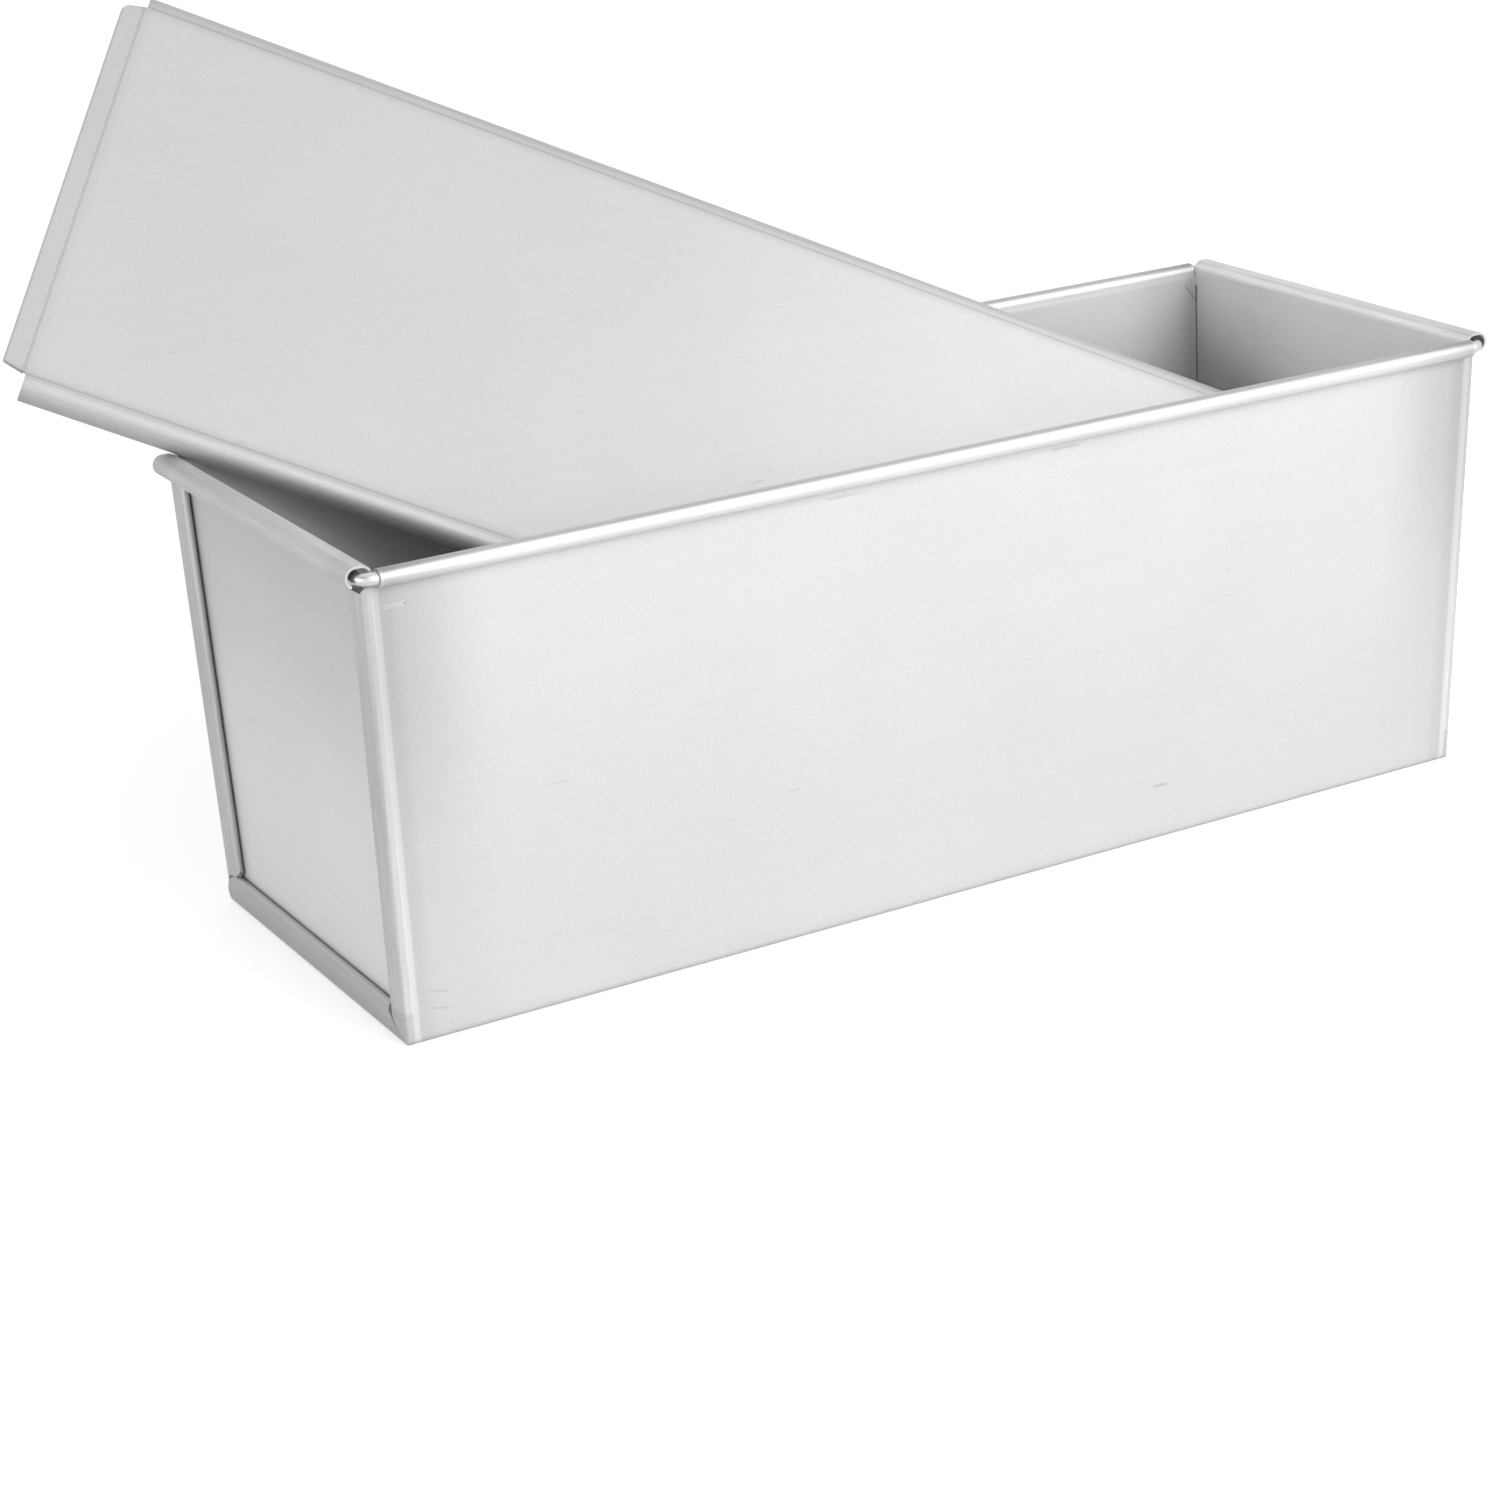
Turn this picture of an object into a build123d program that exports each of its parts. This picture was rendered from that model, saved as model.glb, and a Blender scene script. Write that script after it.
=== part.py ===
from build123d import *
from math import asin, atan2, cos, degrees, hypot, radians, sin, sqrt, tan
import os

os.makedirs("parts", exist_ok=True)

# Pan sizes in millimetres. Lengths and widths are taken at the middle of the sheet.
pan_height = 118.0  # floor to the top of the long rim beads
base_length = 306.9  # between the end panels at the floor
base_width = 108.7  # between the long walls at the floor
end_flare = 5.55  # from the foot of an end panel out to its bead's axis
side_flare = 6.1  # from the foot of a long wall out to its bead's axis
sheet = 0.6  # thickness of the steel sheet
bottom_bend = 1.2  # inner radius between the bottom and the long walls

# Wired rim: round beads along the sides, looser oval ones across the ends
wire_diameter = 3.0
wire_clearance = 0.1  # round the wire in a long bead, and under it in an end bead
wire_bend = 3.0  # radius of the wire's axis at the corners
bead_setback = 3.6  # from the corner of the bead axes to the open end of a long bead
bead_wrap = 310  # degrees of sheet round the wire in a long bead
end_bead_rise = 5.3  # from the underside of an end bead to its top
end_bead_width = 6.6
end_bead_setback = 1.8  # from the corner of the bead axes to the open end of an end bead
end_bead_wrap = 240  # degrees of sheet round the wire in an end bead, open below

# Lock seams between the shell and the end panels
seam_width = 8.5  # from the corner to the free edge of a hooked strip
seam_gap = 0.05  # between the layers
seam_lift = 0.3  # from the end panel to the hook's return
seam_bend = 0.6  # inner radius where a strip leaves its wall
seam_crown = 12  # degrees that a strip slopes at its edges, as it bulges outward
strip_drop = 1.6  # from the underside of a bead to the end of an upright strip
neck_width = 1.6  # what is left of the strip's corner above that end
corner_gap = 0.3  # between an upright strip and the bottom strip
mitre_rise = 6.0  # height of the front corners' mitre at the strip's free edge
round_end = 6.0  # radius of the bottom strip's end at the rear corners
round_inset = 6.3  # from the corner to the centre of that radius
free_corner = 2.0  # radius on the upright strip's free corner there

# Pressed nick near the top of the front wall's left end
nick_length = 6.4
nick_width = 0.7
nick_depth = 0.3
nick_from_end = 0.5  # from the open end of the front bead
nick_drop = 7.5  # below the axis of the front bead

# Sliding lid
rail_clearance = 1.1  # between a long bead and the rail that slides over it
rail_shortfall = 3.9  # shorter than the pan over its end beads
rail_wrap = 205  # degrees of sheet round the bead, from the flat deck
tab_reach = 6.2  # past the rails' ends
tab_inset = 1.4  # beside the rail axis, where the tab leaves the deck
tab_taper = 1.7  # further in at the tab's end
tab_corner = 3.0  # radius on the tab's far corner
hem_width = 5.5  # folded back under the tab
hem_gap = 0.15  # between the two layers of a hem
lip_reach = 4.0  # past the rails' ends to the lip's outer face
lip_height = 7.0  # above the deck
lip_bend = 0.5  # inner radius at the lip's foot
lip_hem = 4.6  # folded down outside the lip

# The lid leans askew across the open pan
lid_swing = 33.3  # degrees that the rails are turned in the plane of the deck
crossing_inset = 8.1  # from the left bead's axis to where the near rail crosses the rear bead
foot_height = 4.2  # from the bottom to the low end of the near rail
rest_gap = 0.3  # left between the lid and the front wall that it leans on
crossing_gap = 0.5  # between the near rail and the rear bead, to clear the left bead too

overrun = 2.0  # of every cut, past the faces it cuts

# Rim, from bead axis to bead axis
rim_length = base_length + 2 * end_flare
rim_width = base_width + 2 * side_flare

# Bead and rail radii, and the height of the wire's and the long beads' axes
bead_inner = wire_diameter / 2 + wire_clearance
bead_middle = bead_inner + sheet / 2
bead_outer = bead_inner + sheet
bead_height = pan_height - bead_outer
bead_underside = bead_height - bead_outer
rail_inner = bead_outer + rail_clearance
rail_middle = rail_inner + sheet / 2
rail_outer = rail_inner + sheet

# An end bead is two half circles and a flat, and the wire lies at its bottom
end_bead_middle = (end_bead_rise - sheet) / 2
end_bead_flat = end_bead_width - end_bead_rise
end_bead_height = bead_underside + end_bead_rise / 2
end_bead_reach = end_flare - end_bead_flat / 2  # out to the inner half circle's centre


def wall_tilt(run, rise, radius):
    # angle off upright of a wall that meets a circle at a tangent
    return atan2(run, rise) - asin(radius / hypot(run, rise))


side_tilt = wall_tilt(side_flare, bead_height, bead_middle)
end_tilt = wall_tilt(end_bead_reach, end_bead_height, end_bead_middle)
side_outward = Vector(0, -cos(side_tilt), -sin(side_tilt))  # front wall
end_outward = Vector(-cos(end_tilt), 0, -sin(end_tilt))  # left end panel
corner_edge = end_outward.cross(side_outward).normalized()
corner_splay = asin(end_outward.dot(side_outward))  # the two sheets off square

# Outer faces at the floor
side_face = base_width / 2 + sheet / 2 / cos(side_tilt)
end_face = base_length / 2 + sheet / 2 / cos(end_tilt)

# Outer face of the left end panel, seen from inside: x runs to the rear, y up the panel
left_face = Plane(
    origin=(-end_face, 0, 0),
    x_dir=(0, 1, 0),
    z_dir=(cos(end_tilt), 0, sin(end_tilt)),
)
right_face = Plane(
    origin=(end_face, 0, 0),
    x_dir=(0, -1, 0),
    z_dir=(-cos(end_tilt), 0, sin(end_tilt)),
)

# Sections square to the seams: x runs in over the panel, y outward from its outer face
upright_seam = Plane(
    origin=Vector(-end_face, -side_face, 0) - corner_edge * overrun,
    x_dir=end_outward.cross(corner_edge),
    z_dir=corner_edge,
)
bottom_seam = Plane(
    origin=(-end_face, 0, 0),
    x_dir=(-sin(end_tilt), 0, cos(end_tilt)),
    z_dir=(0, -1, 0),
)

# Layers of a seam, outward from the panel: the hook's return, the flange, the strip
turn = sheet + seam_gap  # radius of the hook at the middle of the sheet
return_layer = seam_lift + sheet / 2
flange_layer = return_layer + turn
strip_layer = return_layer + turn * (1 + cos(radians(seam_crown)))  # at its two edges
flange_turn = (flange_layer + sheet / 2) / 2
strip_bend = seam_bend + sheet / 2
seam_thickness = strip_layer + seam_width * tan(radians(seam_crown)) + sheet / 2
fold_line = sheet + seam_gap + flange_turn + sheet / 2  # where the panel turns out
root_line = fold_line + sheet  # where the panel's own outline is cut
hook_line = seam_width - turn - sheet / 2  # where the strip turns in
panel_edge = sheet + seam_gap  # edge of the panel, clear of the sheet beside it

# Heights up the end panel
strip_top = (bead_underside - strip_drop) / cos(end_tilt)
neck_top = bead_underside / cos(end_tilt)
shoulder = neck_top + corner_gap  # the end bead passes over the long walls
panel_top = sqrt(hypot(end_bead_reach, end_bead_height) ** 2 - end_bead_middle**2)


def side_edge(rise):
    # the front wall's outer face, measured in the plane of the end panel
    return -side_face - rise * cos(end_tilt) * tan(side_tilt)


def bead_start(centre, radius, tilt):
    # where the middle of the sheet leaves its wall and starts round the wire
    return centre + Vector(radius * cos(tilt), radius * sin(tilt))


def draw_hook(splay):
    # strip of the shell: out past the panel, over its flange and back beneath it
    crown = radians(seam_crown)
    leg_rise = strip_layer + strip_bend * (sin(splay) - cos(crown))
    leg = Line(
        (sheet / 2 / cos(splay), 0),
        (sheet / 2 / cos(splay) + leg_rise * tan(splay), leg_rise),
    )
    bend = JernArc(
        start=leg @ 1,
        tangent=(sin(splay), cos(splay)),
        radius=strip_bend,
        arc_size=degrees(splay) + seam_crown - 90,
    )
    bulge = hook_line + turn * sin(crown) - (bend @ 1).X
    strip = JernArc(
        start=bend @ 1,
        tangent=(cos(crown), sin(crown)),
        radius=bulge / 2 / sin(crown),
        arc_size=-2 * seam_crown,
    )
    hook = JernArc(
        start=strip @ 1,
        tangent=(cos(crown), -sin(crown)),
        radius=turn,
        arc_size=seam_crown - 180,
    )
    Line(hook @ 1, (fold_line + seam_gap, return_layer))


def draw_flange():
    # edge of the end panel, turned out and back into the hook
    root = Line((root_line + sheet, -sheet / 2), (fold_line, -sheet / 2))
    fold = JernArc(
        start=root @ 1,
        tangent=(-1, 0),
        radius=flange_turn,
        arc_size=-180,
    )
    Line(fold @ 1, (hook_line - seam_gap, flange_layer))


# Space inside the tray's outer faces, which no strip reaches out of
wall_spread = side_face + pan_height * tan(side_tilt)
with BuildPart() as tray_space:
    with BuildSketch(Plane.YZ) as tray_outline:
        with BuildLine():
            Polyline(
                (-wall_spread, pan_height),
                (-side_face, 0),
                (side_face, 0),
                (wall_spread, pan_height),
                close=True,
            )
        make_face()
        fillet(
            tray_outline.vertices().group_by(Axis.Y)[0], radius=bottom_bend + sheet
        )
    extrude(amount=rim_length / 2 + overrun, both=True)

# Upright strip of the front left corner, before its ends are cut
with BuildPart() as upright_strip:
    with BuildSketch(upright_seam):
        with BuildLine():
            draw_hook(corner_splay)
        trace(line_width=sheet)
    extrude(amount=pan_height + 2 * overrun)

# Front corners: the upright strip ends in a mitre
mitre_slope = mitre_rise / seam_width
with BuildPart() as front_strip:
    add(upright_strip)
    with BuildSketch(left_face):
        with BuildLine():
            Polyline(
                (side_edge(0) - overrun, corner_gap - overrun * mitre_slope),
                (
                    side_edge(0) + seam_width + overrun,
                    corner_gap + (seam_width + overrun) * mitre_slope,
                ),
                (side_edge(strip_top) + seam_width + overrun, strip_top),
                (side_edge(strip_top) + neck_width, strip_top),
                (side_edge(neck_top), neck_top),
                (side_edge(neck_top) - overrun, neck_top),
                close=True,
            )
        make_face()
    extrude(amount=-seam_thickness - overrun, mode=Mode.INTERSECT)
    add(tray_space, mode=Mode.INTERSECT)

# Rear corners: the upright strip is cut round the bottom strip's rounded end
round_rise = seam_width - round_end
with BuildPart() as rear_strip:
    mirror(upright_strip.part, about=Plane.XZ)
    with BuildSketch(left_face) as rear_outline:
        with BuildLine():
            Polyline(
                (-side_edge(round_rise) + overrun, round_rise),
                (-side_edge(round_rise) - seam_width, round_rise),
                (-side_edge(strip_top) - seam_width, strip_top),
                (-side_edge(strip_top) - neck_width, strip_top),
                (-side_edge(neck_top), neck_top),
                (-side_edge(neck_top) + overrun, neck_top),
                close=True,
            )
        make_face()
        with Locations((side_face - round_inset, round_rise)):
            Circle(round_end + corner_gap, mode=Mode.SUBTRACT)
        cut_corner = (-side_edge(seam_width) - seam_width, seam_width)
        fillet(
            rear_outline.vertices().sort_by_distance(cut_corner)[0], radius=free_corner
        )
    extrude(amount=-seam_thickness - overrun, mode=Mode.INTERSECT)
    add(tray_space, mode=Mode.INTERSECT)

# Bottom strip: mitred at the front corner, round at the rear one
front_end = side_edge(0) + seam_width + corner_gap
with BuildPart() as bottom_strip:
    with BuildSketch(bottom_seam):
        with BuildLine():
            draw_hook(end_tilt)
        trace(line_width=sheet)
    extrude(amount=side_face + overrun, both=True)
    with BuildSketch(left_face):
        with BuildLine():
            Polyline(
                (side_edge(0) - overrun, -overrun * mitre_slope),
                (front_end, (seam_width + corner_gap) * mitre_slope),
                (front_end, seam_width + overrun),
                (side_face - round_inset, seam_width + overrun),
                (side_face - round_inset, -overrun),
                (side_edge(0) - overrun, -overrun),
                close=True,
            )
        make_face()
        with Locations((side_face - round_inset, round_rise)):
            Circle(round_end)
    extrude(amount=-seam_thickness - overrun, mode=Mode.INTERSECT)
    add(tray_space, mode=Mode.INTERSECT)

# Shell: front wall, bottom and rear wall in one sheet, with its beads and strips
front_bead_start = bead_start(
    Vector(-rim_width / 2, bead_height), bead_middle, side_tilt
)
rear_bead_start = Vector(-front_bead_start.X, front_bead_start.Y)
floor_corner = base_width / 2 + sheet / 2 * tan(side_tilt)
with BuildPart() as body_shell:
    with BuildSketch(Plane.YZ):
        with BuildLine():
            FilletPolyline(
                front_bead_start,
                (-floor_corner, sheet / 2),
                (floor_corner, sheet / 2),
                rear_bead_start,
                radius=bottom_bend + sheet / 2,
            )
            JernArc(
                start=front_bead_start,
                tangent=(-sin(side_tilt), cos(side_tilt)),
                radius=bead_middle,
                arc_size=bead_wrap,
            )
            JernArc(
                start=rear_bead_start,
                tangent=(sin(side_tilt), cos(side_tilt)),
                radius=bead_middle,
                arc_size=-bead_wrap,
            )
        trace(line_width=sheet)
    extrude(amount=rim_length / 2, both=True)
    split(bisect_by=left_face, keep=Keep.TOP)
    split(bisect_by=right_face, keep=Keep.TOP)
    # the beads stop short of the corners
    with BuildSketch(Plane.XY.offset(bead_underside)) as bead_ends:
        Rectangle(rim_length + overrun, rim_width + 2 * bead_outer + overrun)
        Rectangle(
            rim_length - 2 * bead_setback,
            rim_width + 2 * bead_outer + overrun,
            mode=Mode.SUBTRACT,
        )
    extrude(amount=2 * bead_outer + overrun, mode=Mode.SUBTRACT)
    for strip in (front_strip, rear_strip, bottom_strip):
        add(strip)
        mirror(strip.part, about=Plane.YZ)
    # pressed nick
    nick_plane = Plane(
        origin=Vector(0, -side_face, 0), x_dir=(1, 0, 0), z_dir=side_outward
    )
    nick_middle = -rim_length / 2 + bead_setback + nick_from_end + nick_length / 2
    with BuildSketch(nick_plane):
        with Locations((nick_middle, (bead_height - nick_drop) / cos(side_tilt))):
            SlotOverall(nick_length, nick_width)
    extrude(amount=-nick_depth, mode=Mode.SUBTRACT)
body_shell.part.label = "body_shell"

# The flanges stop short of each other at the panel's lower corners
flange_start = seam_width + corner_gap

# Flange up the front edge of the left end panel
with BuildPart() as upright_flange:
    with BuildSketch(upright_seam):
        with BuildLine():
            draw_flange()
        trace(line_width=sheet)
    extrude(amount=pan_height + 2 * overrun)
    with BuildSketch(left_face.offset(sheet)):
        with BuildLine():
            Polyline(
                (side_edge(flange_start) - overrun, flange_start),
                (side_edge(flange_start) + seam_width + overrun, flange_start),
                (side_edge(strip_top) + seam_width + overrun, strip_top),
                (side_edge(strip_top) - overrun, strip_top),
                close=True,
            )
        make_face()
    extrude(amount=-sheet - seam_thickness, mode=Mode.INTERSECT)

# Left end panel
with BuildPart() as left_end_panel:
    with BuildSketch(left_face) as panel_outline:
        with BuildLine():
            Polyline(
                (side_edge(panel_edge) + panel_edge, panel_edge),
                (side_edge(shoulder) + panel_edge, shoulder),
                (-rim_width / 2 + end_bead_setback, shoulder),
                (-rim_width / 2 + end_bead_setback, panel_top),
                (rim_width / 2 - end_bead_setback, panel_top),
                (rim_width / 2 - end_bead_setback, shoulder),
                (-side_edge(shoulder) - panel_edge, shoulder),
                (-side_edge(panel_edge) - panel_edge, panel_edge),
                close=True,
            )
        make_face()
        fillet(
            panel_outline.vertices().group_by(Axis.Y)[0],
            radius=bottom_bend - seam_gap,
        )
        # edges that turn out to the flanges
        for side in (-1, 1):
            with BuildLine():
                Polyline(
                    (-side * (side_edge(flange_start) - overrun), flange_start),
                    (-side * (side_edge(flange_start) + root_line), flange_start),
                    (-side * (side_edge(strip_top) + root_line), strip_top),
                    (-side * (side_edge(strip_top) - overrun), strip_top),
                    close=True,
                )
            make_face(mode=Mode.SUBTRACT)
        Rectangle(2 * (side_face - flange_start), 2 * root_line, mode=Mode.SUBTRACT)
    extrude(amount=sheet)
    # bottom flange
    with BuildSketch(bottom_seam):
        with BuildLine():
            draw_flange()
        trace(line_width=sheet)
    extrude(amount=side_face - flange_start, both=True)
    # upright flanges
    add(upright_flange)
    mirror(upright_flange.part, about=Plane.XZ)
    # rim bead
    with BuildSketch(Plane.XZ):
        with BuildLine():
            inner_curl = JernArc(
                start=bead_start(
                    Vector(-base_length / 2 - end_bead_reach, end_bead_height),
                    end_bead_middle,
                    end_tilt,
                ),
                tangent=(-sin(end_tilt), cos(end_tilt)),
                radius=end_bead_middle,
                arc_size=90 - degrees(end_tilt),
            )
            bead_top = Line(inner_curl @ 1, inner_curl @ 1 - Vector(end_bead_flat, 0))
            JernArc(
                start=bead_top @ 1,
                tangent=(-1, 0),
                radius=end_bead_middle,
                arc_size=end_bead_wrap - 90,
            )
        trace(line_width=sheet)
    extrude(amount=rim_width / 2 - end_bead_setback, both=True)
left_end_panel.part.label = "left_end_panel"

# Right end panel, the same sheet turned to face the other way
with BuildPart() as right_end_panel:
    mirror(left_end_panel.part, about=Plane.YZ)
right_end_panel.part.label = "right_end_panel"

# Rim wire, one closed ring inside the four beads
with BuildPart() as rim_wire:
    with BuildLine(Plane.XY.offset(bead_height)) as ring:
        FilletPolyline(
            (rim_length / 2, -rim_width / 2),
            (rim_length / 2, rim_width / 2),
            (-rim_length / 2, rim_width / 2),
            (-rim_length / 2, -rim_width / 2),
            radius=wire_bend,
            close=True,
        )
    with BuildSketch(Plane(origin=ring.line @ 0, z_dir=ring.line % 0)):
        Circle(wire_diameter / 2)
    sweep()
rim_wire.part.label = "rim_wire"

# The lid lies on the rear bead, and its lip's near corner comes to the front wall
rail_length = rim_length + end_bead_width - rail_shortfall
wall_inside = Vector(0, -base_width / 2, 0) - side_outward * (sheet / 2 + rest_gap)


def lid_directions(lean):
    # out of the deck, along the rails to the low end, and across to the far rail
    normal = Vector(0, -sin(radians(lean)), cos(radians(lean)))
    slope = Vector(0, cos(radians(lean)), sin(radians(lean)))
    rails = Vector(1, 0, 0) * cos(radians(lid_swing)) - slope * sin(radians(lid_swing))
    return normal, rails, normal.cross(rails)


def near_rail_ends(lean):
    # the near rail's axis, at its high end and its low end
    normal, rails, across = lid_directions(lean)
    crossing = Vector(crossing_inset - rim_length / 2, rim_width / 2, bead_height)
    crossing += normal * (rail_outer + bead_outer + crossing_gap)
    corner = crossing + across * tab_inset + normal * (rail_outer + lip_height)
    run = side_outward.dot(wall_inside - corner) / side_outward.dot(rails)
    low_end = crossing + rails * (run - lip_reach)
    return low_end - rails * rail_length, low_end


# The deck leans as steeply as leaves the near rail's low end at its height
flat, steep = 0, 90
for halving in range(50):
    lid_lean = (flat + steep) / 2
    rail_start, rail_end = near_rail_ends(lid_lean)
    if rail_end.Z - rail_outer * cos(radians(lid_lean)) > sheet + foot_height:
        flat = lid_lean
    else:
        steep = lid_lean
deck_normal, along, across = lid_directions(lid_lean)

deck = rail_outer - sheet / 2  # middle of the deck's sheet, above the rail axes
lid_section = Plane(origin=rail_start, x_dir=across, z_dir=along)
lid_profile = Plane(origin=rail_start, x_dir=along, z_dir=-across)
lid_deck = Plane(origin=rail_start, x_dir=along, z_dir=deck_normal)
hem_turn = (sheet + hem_gap) / 2
lip_middle = rail_length + lip_reach - hem_turn * 2 - sheet / 2
tab_end_inset = tab_inset + tab_taper

# Tab at the high end, hemmed under
with BuildPart() as tab:
    with BuildSketch(lid_profile):
        with BuildLine():
            top = Line((0, deck), (hem_turn + sheet / 2 - tab_reach, deck))
            fold = JernArc(start=top @ 1, tangent=(-1, 0), radius=hem_turn, arc_size=180)
            Line(fold @ 1, (hem_width - tab_reach, deck - 2 * hem_turn))
        trace(line_width=sheet)
    extrude(amount=-rim_width)
    with BuildSketch(lid_deck) as tab_outline:
        with BuildLine():
            Polyline(
                (0, tab_inset),
                (-tab_reach, tab_end_inset),
                (-tab_reach, rim_width - tab_end_inset),
                (0, rim_width - tab_inset),
                close=True,
            )
        make_face()
        far_corner = (-tab_reach, rim_width - tab_end_inset)
        fillet(
            tab_outline.vertices().sort_by_distance(far_corner)[0], radius=tab_corner
        )
    extrude(amount=rail_outer + overrun, mode=Mode.INTERSECT)

# Lip at the low end, turned up and hemmed outward
lip_top = rail_outer + lip_height - sheet / 2 - hem_turn
with BuildPart() as lip:
    with BuildSketch(lid_profile):
        with BuildLine():
            foot = FilletPolyline(
                (rail_length, deck),
                (lip_middle, deck),
                (lip_middle, lip_top),
                radius=lip_bend + sheet / 2,
            )
            fold = JernArc(
                start=foot @ 1, tangent=(0, 1), radius=hem_turn, arc_size=-180
            )
            Line(fold @ 1, (lip_middle + 2 * hem_turn, lip_top + hem_turn - lip_hem))
        trace(line_width=sheet)
    extrude(amount=-rim_width)
    with BuildSketch(lid_deck):
        with Locations((rail_length, rim_width / 2)):
            Rectangle(2 * (lip_reach + overrun), rim_width - 2 * tab_inset)
    extrude(amount=rail_outer + lip_height + overrun, mode=Mode.INTERSECT)

# Lid: deck and rails in one sheet, with its tab and its lip
with BuildPart() as lid:
    with BuildSketch(lid_section):
        with BuildLine():
            near_rail = CenterArc(
                (0, 0), rail_middle, start_angle=90, arc_size=rail_wrap
            )
            Line((0, deck), (rim_width, deck))
            far_rail = CenterArc(
                (rim_width, 0), rail_middle, start_angle=90, arc_size=-rail_wrap
            )
        trace(line_width=sheet)
    extrude(amount=rail_length)
    add(tab)
    add(lip)
lid.part.label = "lid"

for piece in (body_shell, left_end_panel, right_end_panel, rim_wire, lid):
    export_step(piece.part, "parts/" + piece.part.label + ".step")
    print(piece.part.label, len(piece.part.solids()), round(piece.part.volume))
print("the deck leans", round(lid_lean, 3), "degrees")
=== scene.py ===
import math
import bpy
from mathutils import Matrix, Vector


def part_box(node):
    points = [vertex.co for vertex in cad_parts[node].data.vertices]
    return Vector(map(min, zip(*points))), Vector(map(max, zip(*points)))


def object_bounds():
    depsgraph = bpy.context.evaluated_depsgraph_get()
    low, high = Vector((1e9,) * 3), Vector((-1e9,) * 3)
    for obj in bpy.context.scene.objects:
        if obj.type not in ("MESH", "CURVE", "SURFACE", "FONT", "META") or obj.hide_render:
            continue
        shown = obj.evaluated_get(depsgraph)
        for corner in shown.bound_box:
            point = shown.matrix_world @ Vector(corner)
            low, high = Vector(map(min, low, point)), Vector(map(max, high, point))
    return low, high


# Pullman loaf pan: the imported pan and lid, dressed in matte aluminised steel.

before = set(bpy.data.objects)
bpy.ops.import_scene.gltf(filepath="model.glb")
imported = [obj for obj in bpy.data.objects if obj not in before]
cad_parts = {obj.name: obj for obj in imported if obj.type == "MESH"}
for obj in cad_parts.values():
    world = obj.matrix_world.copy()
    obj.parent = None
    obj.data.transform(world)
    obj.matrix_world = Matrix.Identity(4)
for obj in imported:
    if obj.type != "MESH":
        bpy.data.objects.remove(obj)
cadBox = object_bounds()
mm = 0.001
print("loaded", sorted(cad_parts))


def linearColour(hexValue):  # sRGB hex to the linear values that shaders take
    channels = [int(hexValue[i:i + 2], 16) / 255 for i in (1, 3, 5)]
    linear = [c / 12.92 if c <= 0.04045 else ((c + 0.055) / 1.055) ** 2.4 for c in channels]
    return (*linear, 1.0)


def addNode(tree, kind, inputs=None, **settings):  # adds a node, with its settings, values and links
    node = tree.nodes.new(kind)
    for name, value in settings.items():
        setattr(node, name, value)
    for key, value in (inputs or {}).items():
        socket = node.inputs[key]
        if isinstance(value, bpy.types.NodeSocket):
            tree.links.new(value, socket)
        else:
            socket.default_value = value
    return node


def newMaterial(name):
    material = bpy.data.materials.new(name)
    material.use_nodes = True
    tree = material.node_tree
    tree.nodes.clear()
    return material, tree


panLow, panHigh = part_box("body_shell")
print("pan", [round(v / mm, 1) for v in panHigh - panLow], "mm")


# Metal. Cold-rolled steel sheet dipped in aluminium: a soft silver grey that shows no sharp reflection,
# only a broad sheen, with a fine matte grain. Rolling and folding have burnished the beads, rails and
# strips and left fine streaks along them. The sheet's tone also holds painted shade and painted highlights.
# All sizes and places are in millimetres in the part's own frame. A pair of heights or distances is where
# a change starts and ends, and a pair named Width or Length is half of a mark's size and its soft edge.
# A tone is how much darker the sheet gets, and a shine how much lighter.

sheetLook = {
    "roughness": 0.72, "roughVary": 0.06,
    "grainSize": 0.55,  # the real grain is about 0.1 mm, too fine to show
    "grainCrispness": 0.6, "grainTone": 0.11, "grainDepth": 0.012,
    "rollSpacing": 1.2, "rollStretch": (0.02, 1.0, 1.0), "rollTone": 0.04,  # lines left by the mill's rolls
    "cloudSize": 45, "cloudTone": 0.06,
    "waveSize": 38, "waveDepth": 0.12,
    "scuffSize": 1.1, "scuffStretch": (0.12, 1.0, 0.7), "scuffEdge": (0.72, 0.78),
    "scuffSpread": 26, "scuffPatch": (0.55, 0.65), "scuffTone": 0.1,
    "streakSize": 0.5, "streakTone": 0.3,
    "lineDetail": 3.0, "softDetail": 1.0,
}


def ramp(tree, value, low, high, start=0.0, end=1.0):  # smooth step from start at low to end at high
    return addNode(tree, "ShaderNodeMapRange",
                   {"Value": value, "From Min": low, "From Max": high, "To Min": start, "To Max": end},
                   interpolation_type="SMOOTHSTEP").outputs[0]


def band(tree, value, middle, halfWidth, soft):  # 1 within halfWidth of the middle, fading over soft
    offset = addNode(tree, "ShaderNodeMath", {0: value, 1: middle}, operation="SUBTRACT").outputs[0]
    away = addNode(tree, "ShaderNodeMath", {0: offset}, operation="ABSOLUTE").outputs[0]
    return ramp(tree, away, halfWidth, halfWidth + soft, 1.0, 0.0)


def noise(tree, place, size, detail=2.0, stretch=None, roughness=0.5):
    if stretch:
        place = addNode(tree, "ShaderNodeMapping", {"Vector": place, "Scale": stretch}).outputs[0]
    texture = addNode(tree, "ShaderNodeTexNoise",
                      {"Vector": place, "Scale": 1 / size, "Detail": detail, "Roughness": roughness})
    return texture.outputs["Fac"]


def along(tree, place, direction, origin=(0, 0, 0)):  # distance along a direction
    moved = addNode(tree, "ShaderNodeVectorMath", {0: place, 1: origin}, operation="SUBTRACT").outputs[0]
    return addNode(tree, "ShaderNodeVectorMath", {0: moved, 1: direction},
                   operation="DOT_PRODUCT").outputs["Value"]


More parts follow.
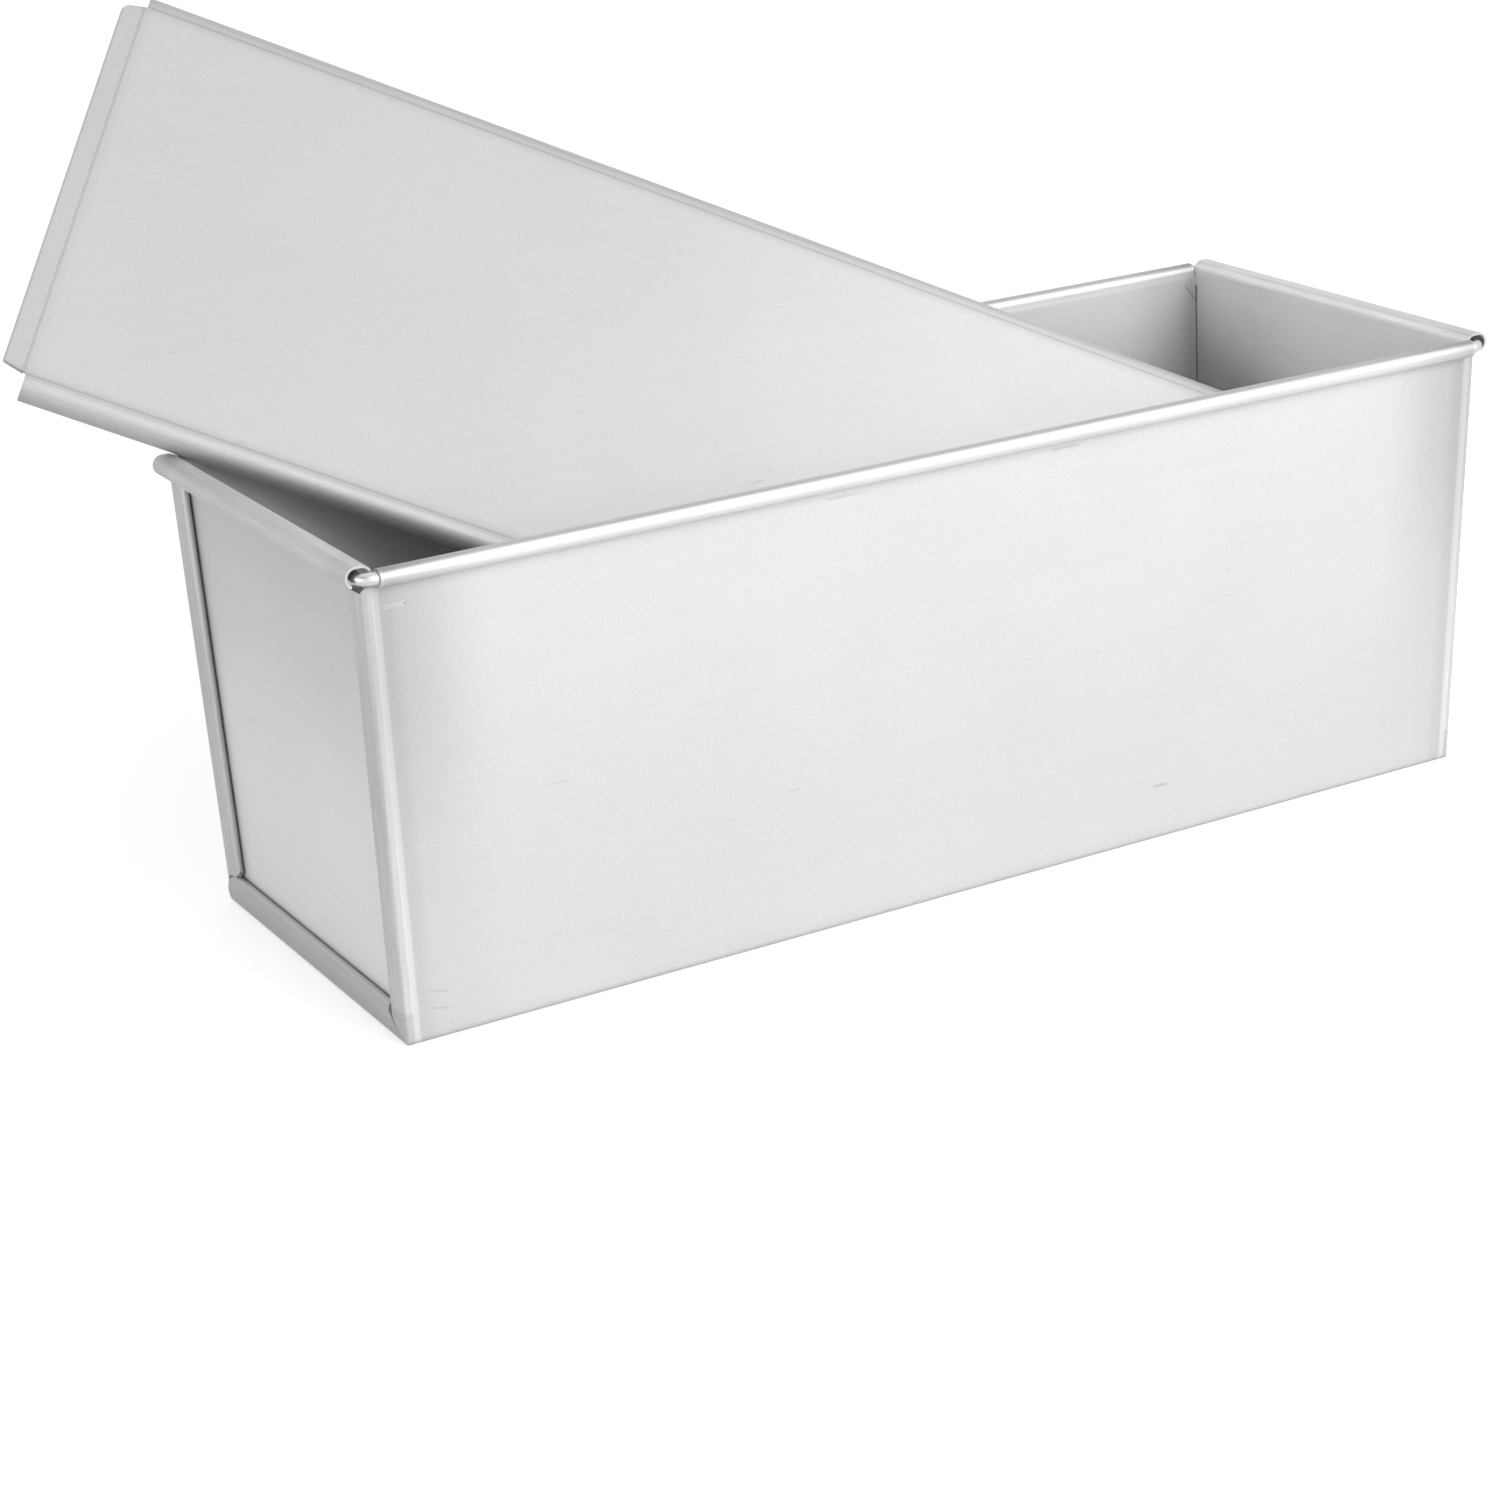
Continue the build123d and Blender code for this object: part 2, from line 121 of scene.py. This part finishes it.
def pastWall(tree, side, z, wall):  # distance outside two opposite walls, given at the floor and by slope
    end, slope = wall
    wallHere = addNode(tree, "ShaderNodeMath", {0: z, 1: slope, 2: end}, operation="MULTIPLY_ADD").outputs[0]
    away = addNode(tree, "ShaderNodeMath", {0: side}, operation="ABSOLUTE").outputs[0]
    return addNode(tree, "ShaderNodeMath", {0: away, 1: wallHere}, operation="SUBTRACT").outputs[0]


def weaken(tree, tone, pattern, amount, where=(), middle=0.0):
    # darkens the tone by the amount where the pattern is 1 above its middle, inside all the masks in where
    change = addNode(tree, "ShaderNodeMath", {0: pattern, 1: -amount, 2: amount * middle},
                     operation="MULTIPLY_ADD").outputs[0]
    for mask in where:
        change = addNode(tree, "ShaderNodeMath", {0: change, 1: mask}, operation="MULTIPLY").outputs[0]
    return addNode(tree, "ShaderNodeMath", {0: tone, 1: change, 2: tone}, operation="MULTIPLY_ADD").outputs[0]


def brighten(tree, tone, pattern, amount, where=()):
    return weaken(tree, tone, pattern, -amount, where)


def sheetMetal(name, look, features):  # features gives how burnished the metal is and its tone, painted shade and highlights included
    material, tree = newMaterial(name)
    place = addNode(tree, "ShaderNodeVectorMath",
                    {0: addNode(tree, "ShaderNodeTexCoord").outputs["Object"], "Scale": 1 / mm},
                    operation="SCALE").outputs[0]
    burnish, tone = features(tree, place, look)

    grain = noise(tree, place, look["grainSize"], roughness=look["grainCrispness"])
    clouds = noise(tree, place, look["cloudSize"])
    rollLines = noise(tree, place, look["rollSpacing"], look["lineDetail"], look["rollStretch"])
    tone = weaken(tree, tone, grain, look["grainTone"], middle=0.5)
    tone = weaken(tree, tone, clouds, look["cloudTone"], middle=0.5)
    tone = weaken(tree, tone, rollLines, look["rollTone"], middle=0.5)
    scuffs = noise(tree, place, look["scuffSize"], look["softDetail"], look["scuffStretch"])
    patches = noise(tree, place, look["scuffSpread"])
    tone = weaken(tree, tone, ramp(tree, scuffs, *look["scuffEdge"]), look["scuffTone"],
                  [ramp(tree, patches, *look["scuffPatch"])])
    colour = addNode(tree, "ShaderNodeMix", {0: 1.0, 6: linearColour(look["colour"]), 7: tone},
                     data_type="RGBA", blend_type="MULTIPLY").outputs[2]

    matte = addNode(tree, "ShaderNodeMath",
                    {0: grain, 1: look["roughVary"], 2: look["roughness"] - look["roughVary"] / 2},
                    operation="MULTIPLY_ADD").outputs[0]
    roughness = addNode(tree, "ShaderNodeMath",
                        {0: burnish, 1: look["burnished"] - look["roughness"], 2: matte},
                        operation="MULTIPLY_ADD").outputs[0]
    waves = noise(tree, place, look["waveSize"], look["softDetail"])
    swell = addNode(tree, "ShaderNodeMath", {0: waves, 1: look["waveDepth"]}, operation="MULTIPLY")
    height = addNode(tree, "ShaderNodeMath", {0: grain, 1: look["grainDepth"], 2: swell.outputs[0]},
                     operation="MULTIPLY_ADD")
    bump = addNode(tree, "ShaderNodeBump", {"Height": height.outputs[0], "Distance": mm, "Strength": 1.0})
    shader = addNode(tree, "ShaderNodeBsdfPrincipled",
                     {"Base Color": colour, "Metallic": 1.0, "Roughness": roughness,
                      "Normal": bump.outputs[0]})
    addNode(tree, "ShaderNodeOutputMaterial", {"Surface": shader.outputs[0]})
    return material


def dress(nodeName, material):
    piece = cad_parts[nodeName]
    for slot in piece.material_slots:
        slot.material = material
    if not piece.material_slots:
        piece.data.materials.append(material)


# The pan's walls and beads, shared by the shell and the end panels

panLook = dict(
    sheetLook, burnished=0.54,
    beadRise=(113.3, 115.5),  # heights over which a wall turns into its bead
    endWall=(153.8, 0.0219),  # half the length of a long wall at the floor, and how it spreads upward
    longWall=(54.35, 0.0363),  # the same across the pan, at the middle of the sheet
    paintedFoldShade=0.07,
)


# Body shell: streaked strips and marks of use, with painted shade towards the walls' ends, under the beads
# and inside, and painted highlights on the bends and beads

shellLook = dict(
    panLook, colour="#CFCFCF",
    outerSide=(-0.1, 0.1), frontAndRear=(49.0, 50.0),
    beadStreaks=(0.015, 1.0, 1.0), beadTopShadeRise=(117.0, 117.8), paintedBeadTopShade=0.25,
    beadFrontHighlight=115.0, beadFrontHighlightWidth=(0.4, 1.0), paintedBeadFrontHighlight=0.12,
    stripEdge=(-0.5, 0.4), stripBurnish=0.6, stripMiddle=0.8,
    uprightStreaks=(1.0, 0.6, 0.02), levelStreaks=(1.0, 0.02, 0.6),
    bottomStripTop=(8.0, 9.0), paintedBottomStripShade=0.12,
    cornerShadeReach=30.0, paintedCornerShade=0.14, cornerShadeRise=(15.0, 110.0, 0.3, 1.7),  # and its share at those heights
    foldShadeInset=1.9, foldShadeWidth=(0.7, 4.2),
    bendHighlightInset=0.6, bendHighlightWidth=(0.4, 0.8), paintedBendHighlight=0.2,
    footShadeReach=5.0, paintedFootShade=0.04,
    creaseShadeHeight=113.5, creaseShadeWidth=(0.1, 0.5), paintedCreaseShade=0.16,
    insideShadeRise=(50.0, 112.0), paintedInsideShade=0.2,
    rubs=[(-34.0, 111.4, 9.0), (29.0, 111.8, 7.0), (59.0, 107.5, 3.0), (59.0, 15.2, 3.0)],  # x, z, length
    rubEnd=1.5, rubWidth=(0.1, 0.7), rubBreaks=(0.35, 0.6), rubTone=0.2,
    nickHeight=108.3, nickWidth=(0.4, 0.1), nickStart=(-155.4, -153.6), nickEnd=(-148.7, -148.5),
    paintedNickHighlight=0.35,
    pressPlaces=[(-147.0, 12.4), (-147.0, 8.0)], pressSlope=-0.25, pressLength=(2.0, 0.8),  # x and z
    pressWidth=(0.15, 0.35), pressTone=0.1,
    scratchStart=(151.6, 113.0), scratchSlope=-1.36, scratchMiddle=154.3, scratchLength=(1.9, 0.8),
    scratchWidth=(0.1, 0.45), scratchTone=0.35,
)


def shellFeatures(tree, place, look):
    x, y, z = addNode(tree, "ShaderNodeSeparateXYZ", {0: place}).outputs
    pastSide = pastWall(tree, y, z, look["longWall"])
    pastEnd = pastWall(tree, x, z, look["endWall"])
    outer = ramp(tree, pastSide, *look["outerSide"])
    inner = ramp(tree, pastSide, *look["outerSide"], 1.0, 0.0)
    near, far = look["frontAndRear"]
    front = ramp(tree, y, -far, -near, 1.0, 0.0)
    rear = ramp(tree, y, near, far)

    bead = ramp(tree, z, *look["beadRise"])
    streaks = noise(tree, place, look["streakSize"], look["lineDetail"], look["beadStreaks"])
    beadFrontHighlight = band(tree, z, look["beadFrontHighlight"], *look["beadFrontHighlightWidth"])
    creaseShade = band(tree, z, look["creaseShadeHeight"], *look["creaseShadeWidth"])
    tone = weaken(tree, 1.0, streaks, look["streakTone"], [bead], 0.5)
    # painted shade: the top of the bead darker
    tone = weaken(tree, tone, ramp(tree, z, *look["beadTopShadeRise"]), look["paintedBeadTopShade"])
    # painted highlight: a lighter line along the lower front of the bead
    tone = brighten(tree, tone, beadFrontHighlight, look["paintedBeadFrontHighlight"])
    # painted shade: a dark line along the wall just under the bead
    tone = weaken(tree, tone, creaseShade, look["paintedCreaseShade"], [outer])

    strip = ramp(tree, pastEnd, *look["stripEdge"])
    upright = noise(tree, place, look["streakSize"], look["lineDetail"], look["uprightStreaks"])
    level = noise(tree, place, look["streakSize"], look["lineDetail"], look["levelStreaks"])
    higher = ramp(tree, z, *look["bottomStripTop"])
    stripStreaks = addNode(tree, "ShaderNodeMix", {0: higher, 2: level, 3: upright}).outputs[0]
    tone = weaken(tree, tone, stripStreaks, look["streakTone"], [strip], look["stripMiddle"])
    lower = ramp(tree, z, *look["bottomStripTop"], 1.0, 0.0)
    # painted shade: the bottom strip darker, down by the floor
    tone = weaken(tree, tone, strip, look["paintedBottomStripShade"], [lower])

    # painted shade: the walls darker towards their ends, more so towards the top
    tone = weaken(tree, tone, ramp(tree, pastEnd, -look["cornerShadeReach"], 0.0), look["paintedCornerShade"],
                  [ramp(tree, z, *look["cornerShadeRise"])])
    foldShade = band(tree, pastEnd, -look["foldShadeInset"], *look["foldShadeWidth"])
    bendHighlight = band(tree, pastEnd, -look["bendHighlightInset"], *look["bendHighlightWidth"])
    # painted shade: a dark band on the walls just inside each corner's folds
    tone = weaken(tree, tone, foldShade, look["paintedFoldShade"])
    # painted highlight along the corner bends
    tone = brighten(tree, tone, bendHighlight, look["paintedBendHighlight"])
    # painted shade along the foot of the walls, by the floor
    tone = weaken(tree, tone, ramp(tree, z, 0.0, look["footShadeReach"], 1.0, 0.0), look["paintedFootShade"])
    # painted shade: inside the pan, the walls darker towards the floor
    tone = weaken(tree, tone, ramp(tree, z, *look["insideShadeRise"], 1.0, 0.0), look["paintedInsideShade"], [inner])

    for middle, height, length in look["rubs"]:
        rub = band(tree, z, height, *look["rubWidth"])
        tone = weaken(tree, tone, rub, look["rubTone"],
                      [band(tree, x, middle, length / 2, look["rubEnd"]), outer, front,
                       ramp(tree, streaks, *look["rubBreaks"])])
    nickHighlight = band(tree, z, look["nickHeight"], *look["nickWidth"])
    afterStart = ramp(tree, x, *look["nickStart"])
    beforeEnd = ramp(tree, x, *look["nickEnd"], 1.0, 0.0)
    # painted highlight on the small pressed groove near the front left corner
    tone = brighten(tree, tone, nickHighlight, look["paintedNickHighlight"], [afterStart, beforeEnd, outer, front])
    for middle, height in look["pressPlaces"]:
        across = along(tree, place, (-look["pressSlope"], 0, 1), (middle, 0, height))
        tone = weaken(tree, tone, band(tree, across, 0.0, *look["pressWidth"]), look["pressTone"],
                      [band(tree, x, middle, *look["pressLength"]), outer, front])
    startX, startHeight = look["scratchStart"]
    across = along(tree, place, (-look["scratchSlope"], 0, 1), (startX, 0, startHeight))
    tone = weaken(tree, tone, band(tree, across, 0.0, *look["scratchWidth"]), look["scratchTone"],
                  [band(tree, x, look["scratchMiddle"], *look["scratchLength"]), inner, rear])

    onStrip = addNode(tree, "ShaderNodeMath", {0: strip, 1: look["stripBurnish"]}, operation="MULTIPLY")
    burnish = addNode(tree, "ShaderNodeMath", {0: bead, 1: onStrip.outputs[0]}, operation="MAXIMUM")
    return burnish.outputs[0], tone


dress("body_shell", sheetMetal("aluminised steel sheet, folded shell", shellLook, shellFeatures))


# End panels: lighter and rolled across the pan, with painted light and shade on their faces and painted
# highlights along their wide beads' edges

endLook = dict(
    panLook, colour="#D6D6D6",
    rollStretch=(1.0, 0.02, 1.0), scuffStretch=(1.0, 0.12, 0.7), scuffTone=0.16,
    outerSide=(-0.45, -0.25), beadStreaks=(1.0, 0.03, 1.0),
    innerLightRise=(88.0, 113.0), paintedInnerLight=0.12, innerShadeFall=(30.0, 100.0), paintedInnerShade=0.2,
    outerShadeRise=(35.0, 113.0), paintedOuterShade=0.18,
    stripInset=(-13.5, -8.5),  # how far inside the long walls the strips' shade on the panel starts and ends
    freeEdgeHighlight=114.15, freeEdgeWidth=(0.15, 0.25), freeEdgePast=(3.0, 4.0),
    innerEdgeHighlight=156.3, innerEdgeWidth=(0.2, 0.3), innerEdgeRise=(117.0, 117.6), paintedEdgeHighlight=0.3,
)


def endFeatures(tree, place, look):
    x, y, z = addNode(tree, "ShaderNodeSeparateXYZ", {0: place}).outputs
    pastEnd = pastWall(tree, x, z, look["endWall"])
    pastSide = pastWall(tree, y, z, look["longWall"])
    outer = ramp(tree, pastEnd, *look["outerSide"])
    inner = ramp(tree, pastEnd, *look["outerSide"], 1.0, 0.0)

    bead = ramp(tree, z, *look["beadRise"])
    streaks = noise(tree, place, look["streakSize"], look["lineDetail"], look["beadStreaks"])
    tone = weaken(tree, 1.0, streaks, look["streakTone"], [bead], 0.5)
    # painted light: the inner face lighter towards the top
    tone = brighten(tree, tone, ramp(tree, z, *look["innerLightRise"]), look["paintedInnerLight"], [inner])
    # painted shade: the inner face darker towards the floor
    tone = weaken(tree, tone, ramp(tree, z, *look["innerShadeFall"], 1.0, 0.0), look["paintedInnerShade"], [inner])
    # painted shade: the outer face darker towards the top, under the lid's overhang
    tone = weaken(tree, tone, ramp(tree, z, *look["outerShadeRise"]), look["paintedOuterShade"], [outer])
    # painted shade on the outer face, along the strips
    tone = weaken(tree, tone, ramp(tree, pastSide, *look["stripInset"]), look["paintedFoldShade"], [outer])

    fromCentre = addNode(tree, "ShaderNodeMath", {0: x}, operation="ABSOLUTE").outputs[0]
    freeEdgeHighlight = band(tree, z, look["freeEdgeHighlight"], *look["freeEdgeWidth"])
    innerEdgeHighlight = band(tree, fromCentre, look["innerEdgeHighlight"], *look["innerEdgeWidth"])
    # painted highlights along the bead's cut edge and its upper edge
    tone = brighten(tree, tone, freeEdgeHighlight, look["paintedEdgeHighlight"], [ramp(tree, pastEnd, *look["freeEdgePast"])])
    tone = brighten(tree, tone, innerEdgeHighlight, look["paintedEdgeHighlight"], [ramp(tree, z, *look["innerEdgeRise"])])
    burnish = addNode(tree, "ShaderNodeMath", {0: bead, 1: outer}, operation="MULTIPLY")
    return burnish.outputs[0], tone


endMetal = sheetMetal("aluminised steel sheet, pressed end", endLook, endFeatures)
dress("left_end_panel", endMetal)
dress("right_end_panel", endMetal)


# Rim wire: drawn smooth, so glossier than the sheets and with no streaks

wireLook = dict(sheetLook, colour="#D2D2D2", roughness=0.42, burnished=0.42)


def wireFeatures(tree, place, look):
    return 0.0, 1.0


dress("rim_wire", sheetMetal("drawn steel wire", wireLook, wireFeatures))


# Lid: painted shade towards its rails and in a line beside each, a hem line at the tab, and painted light on
# its low end

lidLook = dict(
    sheetLook, colour="#C2C2C2", burnished=0.66,
    railStart=(-188.46, 71.99, 138.6), lean=48.165, swing=33.3, railGap=120.9,  # its place in the part
    railStreaks=(0.015, 1.0, 1.0), railEdge=(-0.6, 1.0),
    creaseShadeInset=1.2, creaseShadeWidth=(0.12, 0.35), paintedCreaseShade=0.16,
    railShadeReach=4.5, paintedRailShade=0.14,
    hemLine=-0.7, hemWidth=(0.15, 0.45), hemTone=0.14,
    tabReach=4.0, tabTone=0.05,
    lowEndLightRange=(110.0, 310.0), paintedLowEndLight=0.16,
)


def lidFeatures(tree, place, look):
    lean, swing = math.radians(look["lean"]), math.radians(look["swing"])
    rails = Vector((math.cos(swing), -math.sin(swing) * math.cos(lean), -math.sin(swing) * math.sin(lean)))
    normal = Vector((0, -math.sin(lean), math.cos(lean)))
    fromTab = along(tree, place, rails, look["railStart"])
    fromRail = along(tree, place, normal.cross(rails), look["railStart"])
    fromOther = addNode(tree, "ShaderNodeMath", {0: look["railGap"], 1: fromRail}, operation="SUBTRACT")
    inset = addNode(tree, "ShaderNodeMath", {0: fromRail, 1: fromOther.outputs[0]},
                    operation="MINIMUM").outputs[0]
    onLid = addNode(tree, "ShaderNodeCombineXYZ",
                    {0: fromTab, 1: fromRail, 2: along(tree, place, normal)}).outputs[0]

    rail = ramp(tree, inset, *look["railEdge"], 1.0, 0.0)
    streaks = noise(tree, onLid, look["streakSize"], look["lineDetail"], look["railStreaks"])
    tabEnd = look["hemLine"] + look["tabReach"]
    creaseShade = band(tree, inset, look["creaseShadeInset"], *look["creaseShadeWidth"])
    tone = weaken(tree, 1.0, streaks, look["streakTone"], [rail], 0.5)
    # painted shade: a dark line along the flat beside each rail
    tone = weaken(tree, tone, creaseShade, look["paintedCreaseShade"])
    # painted shade: the flat darker towards each rail
    tone = weaken(tree, tone, ramp(tree, inset, 0.0, look["railShadeReach"], 1.0, 0.0), look["paintedRailShade"])
    tone = weaken(tree, tone, band(tree, fromTab, look["hemLine"], *look["hemWidth"]), look["hemTone"])
    tone = weaken(tree, tone, ramp(tree, fromTab, look["hemLine"], tabEnd, 1.0, 0.0), look["tabTone"])
    # painted light: the low end lighter
    tone = brighten(tree, tone, ramp(tree, fromTab, *look["lowEndLightRange"]), look["paintedLowEndLight"])
    return rail, tone


dress("lid", sheetMetal("aluminised steel sheet, rolled lid", lidLook, lidFeatures))
print("metal dressed")


# Stage: a plain pale floor, a white background and soft studio light. Places are in metres.

stageLook = {
    "floorSize": 8.0, "floorColour": "#D0D0D0",
    "floorGlow": 0.5,  # what the camera sees added to the lit paper, so that it reads as white
    "floorSheen": 0.25,  # what metal sees added to it
    "paperRoughness": 0.9,
    "worldLight": 0.8,
    "softBoxes": [
        # name, place, size, watts
        ("key softbox, front right", (0.3, -0.85, 0.6), 0.6, 7.4),
        ("fill softbox, front", (0.0, -1.9, 0.9), 1.4, 8.0),
        ("edge softbox, left", (-2.0, -0.3, 0.35), 1.4, 20.0),
        ("back softbox", (0.9, 2.2, 1.0), 1.4, 5.0),
    ],
    "card": ("grey_card_upper_left", (-0.75, -0.25, 0.65), (0.7, 0.6), "#707070"),  # name, place, size, grey
    "aim": (0.0, 0.0, 0.08),
}


def pointAt(place, target):  # turns a lamp or card so that its face looks at the target
    turn = (Vector(target) - Vector(place)).to_track_quat("-Z", "Y")
    return Matrix.Translation(place) @ turn.to_matrix().to_4x4()


def raysSeen(tree):  # what the camera sees, and what metal or glass shows
    path = addNode(tree, "ShaderNodeLightPath").outputs
    mirrored = addNode(tree, "ShaderNodeMath", {0: path["Is Glossy Ray"], 1: path["Is Transmission Ray"]},
                       operation="MAXIMUM").outputs[0]
    return path["Is Camera Ray"], mirrored


bpy.ops.object.select_all(action="DESELECT")
bpy.ops.mesh.primitive_plane_add(size=stageLook["floorSize"], location=(0, 0, cadBox[0].z))
floor = bpy.context.object
floor.name = "floor"
floorMaterial, tree = newMaterial("matte white paper floor")
direct, mirrored = raysSeen(tree)
sheen = addNode(tree, "ShaderNodeMath", {0: mirrored, 1: stageLook["floorSheen"]}, operation="MULTIPLY")
glow = addNode(tree, "ShaderNodeMath", {0: direct, 1: stageLook["floorGlow"], 2: sheen.outputs[0]},
               operation="MULTIPLY_ADD")
floorShader = addNode(tree, "ShaderNodeBsdfPrincipled",
                      {"Base Color": linearColour(stageLook["floorColour"]),
                       "Roughness": stageLook["paperRoughness"], "Specular IOR Level": 0.0,
                       "Emission Color": (1, 1, 1, 1), "Emission Strength": glow.outputs[0]})
addNode(tree, "ShaderNodeOutputMaterial", {"Surface": floorShader.outputs[0]})
floor.data.materials.append(floorMaterial)

cardName, cardPlace, cardSize, cardGrey = stageLook["card"]
bpy.ops.object.select_all(action="DESELECT")
bpy.ops.mesh.primitive_plane_add(size=1.0)
card = bpy.context.object
card.name = cardName
card.matrix_world = pointAt(cardPlace, stageLook["aim"]) @ Matrix.Diagonal((*cardSize, 1.0, 1.0))
cardMaterial, tree = newMaterial("matte grey card")
cardShader = addNode(tree, "ShaderNodeBsdfPrincipled",
                     {"Base Color": linearColour(cardGrey), "Roughness": stageLook["paperRoughness"]})
addNode(tree, "ShaderNodeOutputMaterial", {"Surface": cardShader.outputs[0]})
card.data.materials.append(cardMaterial)
card.visible_camera = False

for name, place, size, watts in stageLook["softBoxes"]:
    lamp = bpy.data.lights.new(name, "AREA")
    lamp.shape = "SQUARE"
    lamp.size = size
    lamp.energy = watts
    box = bpy.data.objects.new(name, lamp)
    bpy.context.collection.objects.link(box)
    box.matrix_world = pointAt(place, stageLook["aim"])

world = bpy.data.worlds.new("white studio")
bpy.context.scene.world = world
world.use_nodes = True
tree = world.node_tree
tree.nodes.clear()
direct, mirrored = raysSeen(tree)
seen = addNode(tree, "ShaderNodeMath", {0: direct, 1: mirrored}, operation="MAXIMUM").outputs[0]
strength = addNode(tree, "ShaderNodeMapRange",
                   {"Value": seen, "To Min": stageLook["worldLight"], "To Max": 1.0})
sky = addNode(tree, "ShaderNodeBackground", {"Color": (1, 1, 1, 1), "Strength": strength.outputs[0]})
addNode(tree, "ShaderNodeOutputWorld", {"Surface": sky.outputs[0]})
print("stage set")


# Camera, at the photograph's angle

cameraView = {
    "place": (-0.438375, -0.736597, 0.342595),
    "azimuth": 28.948, "downTilt": 20.402, "roll": -3.015,
    "lens": 83.4235, "sensorWidth": 36.0,
}
lens = bpy.data.cameras.new("camera")
lens.lens = cameraView["lens"]
lens.sensor_width = cameraView["sensorWidth"]
lens.sensor_fit = "HORIZONTAL"
camera = bpy.data.objects.new("camera", lens)
bpy.context.collection.objects.link(camera)
camera.matrix_world = (Matrix.Translation(cameraView["place"])
                       @ Matrix.Rotation(-math.radians(cameraView["azimuth"]), 4, "Z")
                       @ Matrix.Rotation(math.radians(90 - cameraView["downTilt"]), 4, "X")
                       @ Matrix.Rotation(math.radians(cameraView["roll"]), 4, "Z"))
bpy.context.scene.camera = camera
bpy.context.scene.view_settings.view_transform = "Standard"
